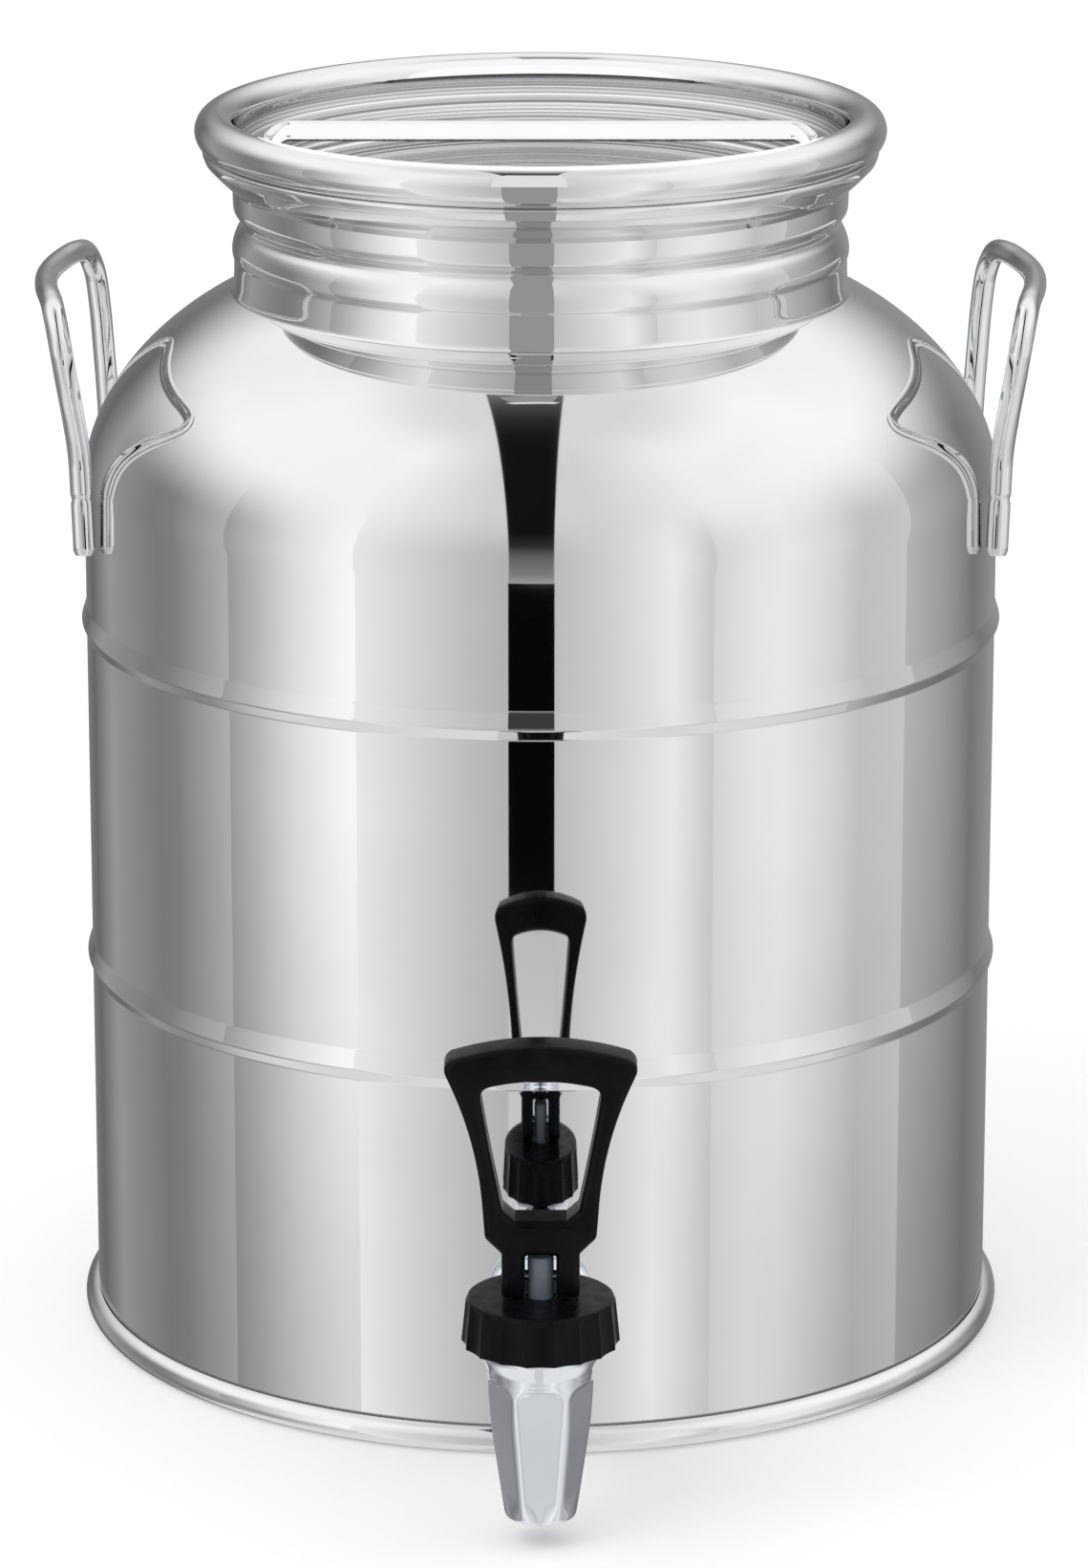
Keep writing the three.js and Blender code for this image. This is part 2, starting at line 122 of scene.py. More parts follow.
def spline(points, steps):
    """Centripetal Catmull-Rom curve through the points, with steps points between neighbours."""
    p = [np.array(point, float) for point in points]
    p = [2 * p[0] - p[1], *p, 2 * p[-1] - p[-2]]
    curve = []
    for i in range(1, len(p) - 2):
        a, b, c, d = p[i - 1 : i + 3]
        t0 = 0.0
        t1 = t0 + np.linalg.norm(b - a) ** 0.5
        t2 = t1 + np.linalg.norm(c - b) ** 0.5
        t3 = t2 + np.linalg.norm(d - c) ** 0.5
        for t in np.linspace(t1, t2, steps, endpoint=False):
            ab = a + (b - a) * (t - t0) / (t1 - t0)
            bc = b + (c - b) * (t - t1) / (t2 - t1)
            cd = c + (d - c) * (t - t2) / (t3 - t2)
            abc = ab + (bc - ab) * (t - t0) / (t2 - t0)
            bcd = bc + (cd - bc) * (t - t1) / (t3 - t1)
            curve.append(abc + (bcd - abc) * (t - t1) / (t2 - t1))
    curve.append(p[-2])
    return curve


def bezier(start, control, end, steps=12):
    """Quadratic curve without its start point."""
    a, b, c = (np.array(point, float) for point in (start, control, end))
    ts = [k / steps for k in range(1, steps + 1)]
    return [tuple((1 - t) ** 2 * a + 2 * t * (1 - t) * b + t * t * c) for t in ts]


def thicken(outer, thickness):
    """Closed outline of a bent sheet whose outside runs upwards through the outer points."""
    line = np.array(outer, float)
    along = np.gradient(line, axis=0)
    normal = np.stack([along[:, 1], -along[:, 0]], axis=1)
    normal /= np.linalg.norm(normal, axis=1)[:, None]
    inner = line - thickness * normal
    return [*map(tuple, line), *map(tuple, inner[::-1])]


def hold_ends(points, closed, margin=0.3, longest=4.0):
    """Adds points near both ends of each long straight stretch, so that shading stays flat between them."""
    held = []
    count = len(points)
    for i, point in enumerate(points):
        held.append(point)
        if not closed and i == count - 1:
            break
        a, b = np.array(point, float), np.array(points[(i + 1) % count], float)
        length = np.linalg.norm(b - a)
        if length > longest:
            held.append(tuple(a + (b - a) * margin / length))
            held.append(tuple(b + (a - b) * margin / length))
    return held


def finely(points, step):
    """Splits the stretches between points so that none is longer than step."""
    fine = []
    for a, b in zip(points, points[1:]):
        a, b = np.array(a, float), np.array(b, float)
        parts = max(1, math.ceil(np.linalg.norm(b - a) / step))
        fine += [tuple(a + (b - a) * k / parts) for k in range(parts)]
    return fine + [tuple(points[-1])]


# ---------------------------------------------------------------- meshes
def rows_to_mesh(rows, wrap):
    """Vertices and quads between rings of equal length; wrap joins the last ring to the first."""
    count, size = len(rows), len(rows[0])
    verts = [tuple(v) for row in rows for v in row]
    faces = []
    for i in range(count if wrap else count - 1):
        k = (i + 1) % count
        for j in range(size):
            m = (j + 1) % size
            faces.append((i * size + j, i * size + m, k * size + m, k * size + j))
    return verts, faces


def turned(profile, sides=ROUND_SIDES, radius_at=None, along_y=None):
    """Surface turned about +Z, or about +Y at height along_y. The profile is [(radius, place on the axis)]:
    from axis to axis if it starts and ends at radius 0, and closed back on itself if not.
    radius_at(radius, place, angles) may vary the radius round a ring."""
    on_axis = profile[0][0] == 0 and profile[-1][0] == 0
    ends = [profile[0], profile[-1]] if on_axis else []
    line = hold_ends(profile, not on_axis)
    if on_axis:
        line = line[1:-1]
    angles = np.arange(sides) * 2 * math.pi / sides
    rows = []
    for r, z in line:
        radii = np.full(sides, r) if radius_at is None else radius_at(r, z, angles)
        rows.append(np.stack([radii * np.cos(angles), radii * np.sin(angles), np.full(sides, z)], axis=1))
    verts, faces = rows_to_mesh(rows, not on_axis)
    for end, row in zip(ends, (0, len(rows) - 1)):
        tip = len(verts)
        verts.append((0, 0, end[1]))
        faces += [(row * sides + j, row * sides + (j + 1) % sides, tip) for j in range(sides)]
    if along_y is not None:
        verts = [(x, z, along_y - y) for x, y, z in verts]
    return verts, faces


def rod(path, radii, sides=32, square=None):
    """Round bar along a path, closed at both ends. square gives, at each point, how far the section
    is squared."""
    path = [np.array(p, float) for p in path]
    count = len(path)
    along = [path[min(i + 1, count - 1)] - path[max(i - 1, 0)] for i in range(count)]
    along = [a / np.linalg.norm(a) for a in along]
    side = np.cross(along[0], (0.0, 1.0, 0.0) if abs(along[0][1]) < 0.9 else (1.0, 0.0, 0.0))
    angles = np.arange(sides) * 2 * math.pi / sides
    rows = []
    for i in range(count):
        side = side - along[i] * np.dot(side, along[i])
        side /= np.linalg.norm(side)
        up = np.cross(along[i], side)
        flat = 0.0 if square is None else square[i]
        radius = radii[i] * (1 - flat * np.cos(2 * angles) ** 2)
        ring = np.cos(angles)[:, None] * side + np.sin(angles)[:, None] * up
        rows.append(path[i] + radius[:, None] * ring)
    verts, faces = rows_to_mesh(rows, False)
    faces.append(tuple(range(sides)))
    faces.append(tuple((count - 1) * sides + j for j in reversed(range(sides))))
    return verts, faces


def joined(*solids):
    verts, faces = [], []
    for more_verts, more_faces in solids:
        start = len(verts)
        verts += more_verts
        faces += [tuple(start + index for index in face) for face in more_faces]
    return verts, faces


def finish_piece(obj, slot, body, nodes, sharp=38):
    """Smooth shading with sharp creases, the material named by slot, the body, and hiding of the CAD nodes
    that it stands for.
    """
    mesh = obj.data
    edit = bmesh.new()
    edit.from_mesh(mesh)
    bmesh.ops.recalc_face_normals(edit, faces=edit.faces)
    edit.to_mesh(mesh)
    edit.free()
    mesh.polygons.foreach_set("use_smooth", [True] * len(mesh.polygons))
    mesh.set_sharp_from_angle(angle=math.radians(sharp))
    mesh.materials.clear()
    mesh.materials.append(MATERIALS[slot])
    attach(obj, body)
    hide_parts(*nodes)
    return obj


def piece(name, solid, axis, slot, body, nodes, sharp=38):
    mesh = bpy.data.meshes.new(name)
    mesh.from_pydata([Vector(v) * MM for v in solid[0]], [], solid[1])
    obj = bpy.data.objects.new(name, mesh)
    bpy.context.scene.collection.objects.link(obj)
    obj.location = axis
    return finish_piece(obj, slot, body, nodes, sharp)


# ---------------------------------------------------------------- materials
class Nodes:
    """A material with a Principled shader and a few lines for wiring procedural detail to it."""

    def __init__(self, name, colour, metallic, roughness):
        self.material = bpy.data.materials.new(name)
        self.material.use_nodes = True
        self.tree = self.material.node_tree
        self.shader = self.tree.nodes["Principled BSDF"]
        self.shader.inputs["Base Color"].default_value = (*colour, 1)
        self.shader.inputs["Metallic"].default_value = metallic
        self.shader.inputs["Roughness"].default_value = roughness
        self.place = self.tree.nodes.new("ShaderNodeTexCoord").outputs["Object"]

    def link(self, source, socket):
        self.tree.links.new(source, socket)

    def scaled(self, scale):
        node = self.tree.nodes.new("ShaderNodeMapping")
        node.inputs["Scale"].default_value = scale
        self.link(self.place, node.inputs["Vector"])
        return node.outputs["Vector"]

    def noise(self, scale, detail=3.0, place=None):
        node = self.tree.nodes.new("ShaderNodeTexNoise")
        node.inputs["Scale"].default_value = scale
        node.inputs["Detail"].default_value = detail
        self.link(place or self.place, node.inputs["Vector"])
        return node.outputs["Fac"]

    def rings(self, scale):
        """Noise that changes with the distance from the piece's own upright axis and with height."""
        flat = self.tree.nodes.new("ShaderNodeVectorMath")
        flat.operation = "MULTIPLY"
        flat.inputs[1].default_value = (1, 1, 0)
        self.link(self.place, flat.inputs[0])
        length = self.tree.nodes.new("ShaderNodeVectorMath")
        length.operation = "LENGTH"
        self.link(flat.outputs["Vector"], length.inputs[0])
        split = self.tree.nodes.new("ShaderNodeSeparateXYZ")
        self.link(self.place, split.inputs["Vector"])
        total = self.tree.nodes.new("ShaderNodeMath")
        self.link(length.outputs["Value"], total.inputs[0])
        self.link(split.outputs["Z"], total.inputs[1])
        node = self.tree.nodes.new("ShaderNodeTexNoise")
        node.noise_dimensions = "1D"
        node.inputs["Scale"].default_value = scale
        node.inputs["Detail"].default_value = 4.0
        self.link(total.outputs["Value"], node.inputs["W"])
        return node.outputs["Fac"]

    def ranged(self, source, low, high, start=0.35, end=0.65):
        node = self.tree.nodes.new("ShaderNodeMapRange")
        node.inputs["From Min"].default_value = start
        node.inputs["From Max"].default_value = end
        node.inputs["To Min"].default_value = low
        node.inputs["To Max"].default_value = high
        self.link(source, node.inputs["Value"])
        return node.outputs["Result"]

    def rough(self, source, low, high):
        self.link(self.ranged(source, low, high), self.shader.inputs["Roughness"])

    def tint(self, source, first, second):
        node = self.tree.nodes.new("ShaderNodeMix")
        node.data_type = "RGBA"
        node.inputs["A"].default_value = (*first, 1)
        node.inputs["B"].default_value = (*second, 1)
        self.link(self.ranged(source, 0, 1), node.inputs["Factor"])
        self.link(node.outputs["Result"], self.shader.inputs["Base Color"])

    def bump(self, source, strength, distance):
        node = self.tree.nodes.new("ShaderNodeBump")
        node.inputs["Strength"].default_value = strength
        node.inputs["Distance"].default_value = distance
        self.link(source, node.inputs["Height"])
        self.link(node.outputs["Normal"], self.shader.inputs["Normal"])


STEEL = (0.80, 0.805, 0.81)


def polished_steel():
    nodes = Nodes("polished_steel", STEEL, 1, 0.03)
    nodes.rough(nodes.noise(14, 5), 0.015, 0.04)
    nodes.tint(nodes.noise(30, 4), (0.785, 0.79, 0.797), (0.81, 0.815, 0.82))
    nodes.bump(nodes.noise(90, 4, nodes.scaled((1, 1, 0.2))), 0.01, 0.00003)
    return nodes.material


def brushed_steel():
    nodes = Nodes("brushed_steel", (0.72, 0.72, 0.73), 1, 0.2)
    rings = nodes.rings(700)
    nodes.rough(rings, 0.08, 0.24)
    nodes.tint(rings, (0.22, 0.22, 0.235), (0.84, 0.84, 0.85))
    nodes.bump(rings, 1.0, 0.0003)
    return nodes.material


def chrome():
    nodes = Nodes("chrome", (0.87, 0.89, 0.93), 1, 0.03)
    nodes.rough(nodes.noise(60, 4), 0.015, 0.045)
    nodes.tint(nodes.noise(45, 4), (0.85, 0.875, 0.92), (0.89, 0.91, 0.95))
    nodes.bump(nodes.noise(160, 3), 0.01, 0.00003)
    return nodes.material


def black_plastic():
    nodes = Nodes("black_plastic", (0.003, 0.003, 0.004), 0, 0.3)
    nodes.rough(nodes.noise(220, 5), 0.2, 0.38)
    nodes.tint(nodes.noise(90, 5), (0.002, 0.002, 0.003), (0.004, 0.004, 0.0055))
    nodes.bump(nodes.noise(900, 4), 0.12, 0.0002)
    nodes.shader.inputs["Specular IOR Level"].default_value = 0.1
    return nodes.material


def stem_plastic():
    nodes = Nodes("stem_plastic", (0.13, 0.15, 0.18), 0, 0.4)
    nodes.rough(nodes.noise(300, 4), 0.3, 0.5)
    nodes.tint(nodes.noise(120, 4), (0.115, 0.135, 0.165), (0.14, 0.16, 0.195))
    nodes.bump(nodes.noise(1200, 3), 0.08, 0.0002)
    return nodes.material


def rubber():
    nodes = Nodes("rubber", (0.03, 0.03, 0.03), 0, 0.75)
    nodes.rough(nodes.noise(400, 5), 0.65, 0.85)
    nodes.tint(nodes.noise(150, 4), (0.022, 0.022, 0.022), (0.04, 0.04, 0.04))
    nodes.bump(nodes.noise(1500, 5), 0.25, 0.0002)
    return nodes.material


def silicone():
    nodes = Nodes("silicone", (0.75, 0.75, 0.73), 0, 0.5)
    nodes.rough(nodes.noise(250, 4), 0.4, 0.6)
    nodes.tint(nodes.noise(80, 4), (0.7, 0.7, 0.68), (0.78, 0.78, 0.76))
    nodes.bump(nodes.noise(900, 4), 0.1, 0.0002)
    nodes.shader.inputs["Subsurface Weight"].default_value = 0.15
    nodes.shader.inputs["Subsurface Scale"].default_value = 0.002
    return nodes.material


MATERIALS = {
    "polished_steel": polished_steel(),
    "brushed_steel": brushed_steel(),
    "chrome": chrome(),
    "black_plastic": black_plastic(),
    "stem_plastic": stem_plastic(),
    "rubber": rubber(),
    "silicone": silicone(),
}

# ---------------------------------------------------------------- can: body, shoulder, neck and foot
BEAD_HEIGHTS = (99.2, 189.0)
BEAD_DEPTH = 1.35
BEAD_TOP, BEAD_CREST, BEAD_FOOT = 3.6, -0.7, -3.6  # heights about the bead's middle


def body_shell():
    outer = [(BODY_R, bottom("body_shell"))]
    for z in BEAD_HEIGHTS:
        outer += [
            (BODY_R, z + BEAD_FOOT, 0.9),
            (BODY_R + BEAD_DEPTH, z + BEAD_CREST, 1.4),
            (BODY_R, z + BEAD_TOP, 2.0),
        ]
    outer.append((BODY_R, SEAM_Z))
    return turned(thicken(hold_ends(rounded(outer, closed=False), False), SHEET))


DOME_START_Z = 225.1
DOME_RISE = 56.5
DOME_REACH = 70.5
DOME_POWER = 1.824
NECK_R = 79.0
DOME_TUCK = 0.4  # the dome and the mouth run this far under the neck's skin


def dome_point(t):
    return (
        BODY_R - DOME_REACH + DOME_REACH * math.cos(t) ** (2 / DOME_POWER),
        DOME_START_Z + DOME_RISE * math.sin(t) ** (2 / DOME_POWER),
    )


def shoulder_dome(steps=72):
    end = math.acos(((NECK_R - DOME_TUCK - BODY_R + DOME_REACH) / DOME_REACH) ** (DOME_POWER / 2))
    outer = [(BODY_R, SEAM_Z), (BODY_R, SEAM_Z + 4), (BODY_R, SEAM_Z + 12)]
    outer += [dome_point(end * i / steps) for i in range(steps + 1)]
    return turned(thicken(outer, SHEET))


def neck_collar():
    """Neck from its fillet on the dome, up over a swelling and a groove, to the mouth."""
    outer = spline(
        [
            (80.6, 272.9),
            (79.4, 274.0),
            (78.9, 275.6),
            (78.7, 278.5),
            (78.7, 282.6),
            (79.0, 283.6),
            (79.1, 285.2),
            (78.8, 287.0),
            (77.9, 289.4),
            (76.8, 291.2),
            (76.8, 292.4),
            (77.8, 293.8),
            (78.6, 295.2),
            (78.8, 297.0),
            (78.8, 303.0),
            (78.8, 309.6),
        ],
        5,
    )
    return turned(thicken(outer, SHEET))


def mouth_rim():
    return turned(
        rounded(
            [
                (NECK_R - DOME_TUCK, 300.6),
                (79.6, 301.6, 2.0),
                (82.8, 304.6, 2.5),
                (85.7, 307.6, 1.6),
                (86.9, 310.8, 0.9),
                (85.6, 310.6, 0.3),
                (84.0, 309.9),
                (NECK_R - DOME_TUCK, 309.9),
            ]
        )
    )


FOOT_RING_R, FOOT_CURL_R = 117.9, 3.5
FOOT_CURL_FROM, FOOT_CURL_TO = -190, 128  # the curl's ends, in degrees round its own middle


def foot_ring():
    centre = (FOOT_RING_R, FOOT_CURL_R)
    outside = arc(centre, FOOT_CURL_R, FOOT_CURL_FROM, FOOT_CURL_TO)
    inside = arc(centre, FOOT_CURL_R - SHEET, FOOT_CURL_TO, FOOT_CURL_FROM)
    return turned(outside + inside)


PAN_STEP_R, PAN_STEP = 70.0, 0.6  # inside this radius the pan stands this much higher


def bottom_pan():
    rim_r = half_width("bottom_pan")
    high, low = top("bottom_pan"), bottom("bottom_pan")
    edge = high - PAN_STEP
    upper = rounded(
        [
            (0, high),
            (PAN_STEP_R, high, 4),
            (PAN_STEP_R + 3, edge, 4),
            (rim_r, edge, 0.5),
            (rim_r, low),
        ],
        closed=False,
    )
    under = [(rim_r - SHEET, low), (rim_r - SHEET, edge - SHEET), (0, edge - SHEET)]
    return turned(upper + under)


# ---------------------------------------------------------------- side handles
HANDLE_ROD_R = 2.9
HANDLE_TURN = math.radians(1.7)
HANDLE_SIDE = (
    (39.3, 114.9, 212),
    (39.2, 115.3, 224),
    (39.0, 115.9, 238),
    (42.0, 116.9, 248.5),
    (46.0, 118.1, 259),
    (46.9, 119.3, 267.5),
    (42.5, 120.9, 273.6),
    (33.5, 122.6, 275.8),
    (17.0, 125.6, 276.4),
)
HANDLE_TOP = (0, 126.9, 276.5)
HANDLE_FOOT_Z = 226.5  # the rod is pressed square below this height
FOOT_SWELL, FOOT_SQUARE = 1.04, 0.06
CRIMP_DEPTH, CRIMP_WIDTH = 0.35, 0.7
ROD_CHAMFER = 0.5


def side_handle(side):
    def place(point, mirror):
        along, outward, up = mirror * point[0], point[1], point[2]
        x = outward * math.cos(HANDLE_TURN) + along * math.sin(HANDLE_TURN)
        y = outward * math.sin(HANDLE_TURN) - along * math.cos(HANDLE_TURN)
        return (side * x, y, up)

    corners = [place(p, 1) for p in HANDLE_SIDE] + [place(HANDLE_TOP, 1)]
    corners += [place(p, -1) for p in reversed(HANDLE_SIDE)]
    path = finely(spline(corners, 10), 1.2)
    radii, square = [], []
    for p in path:
        above = p[2] - HANDLE_FOOT_Z
        groove = CRIMP_DEPTH * math.exp(-((above / CRIMP_WIDTH) ** 2))
        radii.append(HANDLE_ROD_R * (FOOT_SWELL if above < 0 else 1.0) - groove)
        square.append(FOOT_SQUARE if above < 0 else 0.0)
    for end in (0, -1):
        radii[end] -= ROD_CHAMFER
    return rod(path, radii, square=square)


# ---------------------------------------------------------------- lid
LID_CURL_R, LID_RING_R, LID_RING_Z = 5.3, 83.1, 315.3
DISH_FLOOR_Z = 299.0
DISH_WALL_R = 74.0


def lid_rim():
    return turned(arc((LID_RING_R, LID_RING_Z), LID_CURL_R, 0, 360, math.radians(7.5))[:-1])


DISH_STEP_R = 60.0  # a small step goes round the floor here


LIP_IN, LIP_DOWN = 4.95, 2.0  # from the middle of the rolled rim to the wall's upper end


def lid_dish():
    """Step, sloping corner and wall of the dish, from the floor up to the rolled rim."""
    lip_r, lip_z = LID_RING_R - LIP_IN, LID_RING_Z - LIP_DOWN
    upper = rounded(
        [
            (DISH_STEP_R, DISH_FLOOR_Z),
            (DISH_STEP_R + 1.5, DISH_FLOOR_Z, 1.0),
            (DISH_STEP_R + 2.5, DISH_FLOOR_Z + 0.9, 1.0),
            (DISH_WALL_R - 3.5, DISH_FLOOR_Z + 2.0, 5.0),
            (DISH_WALL_R, 308.6, 3),
            (lip_r, lip_z),
        ],
        closed=False,
    )
    return turned(
        [
            *upper,
            (lip_r + 0.5, lip_z - 0.5),
            (DISH_WALL_R + SHEET, 308.4),
            (DISH_WALL_R + SHEET, DISH_FLOOR_Z + 0.4),
            (DISH_WALL_R - 0.6, DISH_FLOOR_Z - SHEET),
            (DISH_STEP_R, DISH_FLOOR_Z - SHEET),
        ]
    )


def lid_floor():
    return turned(
        [
            (0, DISH_FLOOR_Z),
            (DISH_STEP_R, DISH_FLOOR_Z),
            (DISH_STEP_R, DISH_FLOOR_Z - SHEET),
            (0, DISH_FLOOR_Z - SHEET),
        ]
    )


LID_BAR_R, LID_BAR_Z, LID_BAR_HALF, LID_BAR_BEND = 2.7, 314.5, 69.5, 5.5
LID_BAR_FOOT = 0.9  # gap between the bar's feet and the floor


def lid_bar():
    foot = DISH_FLOOR_Z + LID_BAR_FOOT
    bend = [
        (LID_BAR_HALF - LID_BAR_BEND + x, z)
        for x, z in arc((0, LID_BAR_Z - LID_BAR_BEND), LID_BAR_BEND, 0, 90)
    ]
    right = [(LID_BAR_HALF, foot), *bend]
    line = [(x, 0, z) for x, z in right] + [(-x, 0, z) for x, z in reversed(right)]
    path = finely(line, 1.5)
    return rod(path, [LID_BAR_R] * len(path))


def lid_seal():
    return turned(rounded([(75.0, 301, 0.4), (77.7, 302.5, 0.5), (77.7, 304.5, 0.5), (75.0, 305, 0.4)]))


# ---------------------------------------------------------------- faucet, fixed pieces
SHANK_Z = middle("faucet_shank").z / MM
SPOUT_Z = 7.0
FLAT_TOP_Z = 43.4
FLATS = 6
FLAT_HALF_WIDTHS = (3.6, 6.0)  # at the spout's end and at its shoulder
SPOUT_SHOULDER_Z = 40.0
FLAT_TOP_ROUNDING, FLAT_TOP_FADE = 2.2, 1.6
FLAT_END_START, FLAT_END_FADE = 0.3, 6.0
EDGE_SOFTNESS = 0.12
SPOUT_SKIN_R = 7.2  # what lies inside this radius is the bore, which stays round
BORE_R, BOWL_R = 6.4, 11.2
ARM_R, ARM_END = 10.0, 26.0
SHANK_BORE_R, SHANK_HOLE_R = 4.8, 8.2


def spout_radius(r, z, angles):
    """Radius round the spout with six shallow flats that narrow downwards and end in rounded tops."""
    if z > FLAT_TOP_Z + 1 or r < SPOUT_SKIN_R:
        return np.full(len(angles), r)
    width = np.interp(z, (SPOUT_Z, SPOUT_SHOULDER_Z), FLAT_HALF_WIDTHS)
    sector = 2 * math.pi / FLATS
    local = (angles + math.pi / 2 + sector / 2) % sector - sector / 2
    across = np.abs(r * np.sin(local)) / width
    top_z = FLAT_TOP_Z - FLAT_TOP_ROUNDING * np.clip(across, 0, 1) ** 4
    fade = np.clip((top_z - z) / FLAT_TOP_FADE, 0, 1)
    fade = fade * fade * (3 - 2 * fade)
    fade = fade * np.clip((z - SPOUT_Z - FLAT_END_START) / FLAT_END_FADE, 0, 1)
    flat = math.sqrt(r * r - width * width) / np.cos(local)
    flat = r + (flat - r) * fade
    lowest = np.minimum(r, flat)
    over_round = np.exp(-(r - lowest) / EDGE_SOFTNESS)
    over_flat = np.exp(-(flat - lowest) / EDGE_SOFTNESS)
    return lowest - EDGE_SOFTNESS * np.log(over_round + over_flat)


def faucet_body():
    """Spout with its bowl under the bonnet, and the arm that reaches back to the shank."""
    flank = spline(
        [
            (8.8, 7.9),
            (9.4, 12),
            (10.4, 19),
            (11.3, 25.2),
            (12.15, 31.5),
            (12.8, SPOUT_SHOULDER_Z),
            (13.0, 43.5),
            (13.4, 46),
            (14.4, 48.2),
        ],
        4,
    )
    flank = finely([tuple(p) for p in flank], 0.6)
    lip = rounded(
        [(BORE_R, 12), (BORE_R, SPOUT_Z, 0.8), (8.5, SPOUT_Z, 0.9), (8.8, 7.9)],
        closed=False,
    )
    bowl = [
        (15.2, 49.6),
        (15.2, 51.0),
        (14.4, 51.0),
        (14.4, 61.0),
        (BOWL_R, 61.0),
        (BOWL_R, 38.0),
        (6.8, 33.0),
        (BORE_R, 12.0),
    ]
    spout = turned([*lip[1:-1], *flank, *bowl], FAUCET_SIDES * 2, spout_radius)
    arm_outline = rounded(
        [
            (SHANK_BORE_R, 8.0),
            (9.0, 8.0),
            (ARM_R, 13.0, 4),
            (ARM_R, ARM_END, 0.8),
            (SHANK_HOLE_R, ARM_END),
            (SHANK_HOLE_R, 15.5),
            (SHANK_BORE_R, 15.5),
        ]
    )
    return joined(spout, turned(arm_outline, FAUCET_SIDES, along_y=SHANK_Z))


def ring_along_y(node, inner_r, outer_r, fillet, radius_at=None, chamfer=0.0):
    """Turned ring in the place of a CAD node on the shank's axis."""
    low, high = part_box(node)
    front, rear = ((y - STEM_AXIS.y) / MM for y in (low.y, high.y))
    rim = [(outer_r, front, fillet), (outer_r, rear, fillet)]
    if chamfer:
        rim = [
            (outer_r - chamfer, front, fillet),
            (outer_r, front + chamfer * 0.6),
            (outer_r, rear - chamfer * 0.6),
            (outer_r - chamfer, rear, fillet),
        ]
    outline = rounded([(inner_r, front), *rim, (inner_r, rear)])
    return turned(outline, FAUCET_SIDES, radius_at, along_y=SHANK_Z)


SHANK_R = 7.9
THREAD_PITCH, THREAD_DEPTH = 1.5, 0.45
THREAD_PROFILE = ((0, 0), (0.4, 1), (0.55, 1), (0.95, 0))  # shares of the pitch and of the depth


def threaded_shank():
    low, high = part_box("faucet_shank")
    front, rear = ((y - STEM_AXIS.y) / MM for y in (low.y, high.y))
    root_r = SHANK_R - THREAD_DEPTH
    outer = [(root_r, front)]
    y = front + 0.6
    while y + THREAD_PITCH < rear:
        for share, depth in THREAD_PROFILE:
            outer.append((root_r + depth * THREAD_DEPTH, y + share * THREAD_PITCH))
        y += THREAD_PITCH
    outer.append((root_r, rear))
    return turned([*outer, (SHANK_BORE_R, rear), (SHANK_BORE_R, front)], FAUCET_SIDES, along_y=SHANK_Z)


NUT_FLATS = 24.0
FLANGE_R, WASHER_R = 14.0, 12.5


def hexagon(r, place, angles):
    sector = math.pi / 3
    local = (angles + sector / 2) % sector - sector / 2
    return np.minimum(r, NUT_FLATS / 2 / np.cos(local)) if r > 10 else np.full(len(angles), r)


FLUTES = 18
FLUTE_DEPTH = 0.7
FLUTED_R = 17.2  # the flutes are cut outside this radius only
BONNET_Z = (51.4, 63.4)
BONNET_INNER_R, BONNET_BORE_R, BONNET_ROOF = 14.9, 3.65, 2.1


def fluted(r, z, angles):
    if r < FLUTED_R:
        return np.full(len(angles), r)
    phase = (angles * FLUTES / (2 * math.pi)) % 1 - 0.5
    cut = 1 - np.abs(2 * phase) ** 2.2
    fade = min(1.0, max(0.0, (BONNET_Z[1] - 0.4 - z) / 1.0))
    return r - FLUTE_DEPTH * fade * cut


def bonnet_collar():
    outline = [
        (BONNET_INNER_R, BONNET_Z[0]),
        (19.15, BONNET_Z[0], 0.5),
        (17.95, BONNET_Z[1] - 0.2, 1.0),
        (BONNET_BORE_R, BONNET_Z[1], 0.4),
        (BONNET_BORE_R, BONNET_Z[1] - BONNET_ROOF),
        (BONNET_INNER_R, BONNET_Z[1] - BONNET_ROOF),
    ]
    line = finely(rounded(outline), 0.8)
    return turned(line, 360, fluted)


SPRING_R, SPRING_WIRE_R, SPRING_TURNS = 7.0, 0.7, 4
SPRING_Z = (43.4, 59.8)


def closing_coil():
    steps = 36 * SPRING_TURNS
    path = []
    for i in range(steps + 1):
        angle = 2 * math.pi * SPRING_TURNS * i / steps
        z = SPRING_Z[0] + (SPRING_Z[1] - SPRING_Z[0]) * i / steps
        path.append((SPRING_R * math.cos(angle), SPRING_R * math.sin(angle), z))
    return rod(path, [SPRING_WIRE_R] * len(path), 16)


# ---------------------------------------------------------------- faucet, moving pieces
PIN_Z = middle("lever_pin").z / MM
STEM_R = 3.15


def valve_stem():
    low, high = bottom("valve_stem"), top("valve_stem")
    outline = rounded([(0, low), (STEM_R, low, 0.5), (STEM_R, high, 0.6), (0, high)], False)
    return turned(outline, 64)


SEAT_SOCKET_R = 3.45  # the stem's foot sits in the cup


def seat_cup():
    outline = [
        (0, 33.6),
        (5.5, 34, 1),
        (9.2, 36.4, 1),
        (9.2, 39, 1),
        (5.2, 42, 0.6),
        (SEAT_SOCKET_R, 42, 0.2),
        (SEAT_SOCKET_R, 38.0),
        (0, 38.0),
    ]
    return turned(rounded(outline, closed=False), 96)


PIN_CHAMFER = 0.25


def lever_pin():
    half = half_width("lever_pin")
    radius = (top("lever_pin") - bottom("lever_pin")) / 2
    path = [(x, 0, PIN_Z) for x in (-half, -half + PIN_CHAMFER, 0, half - PIN_CHAMFER, half)]
    end_r = radius - PIN_CHAMFER
    return rod(path, [end_r, radius, radius, radius, end_r], 24)


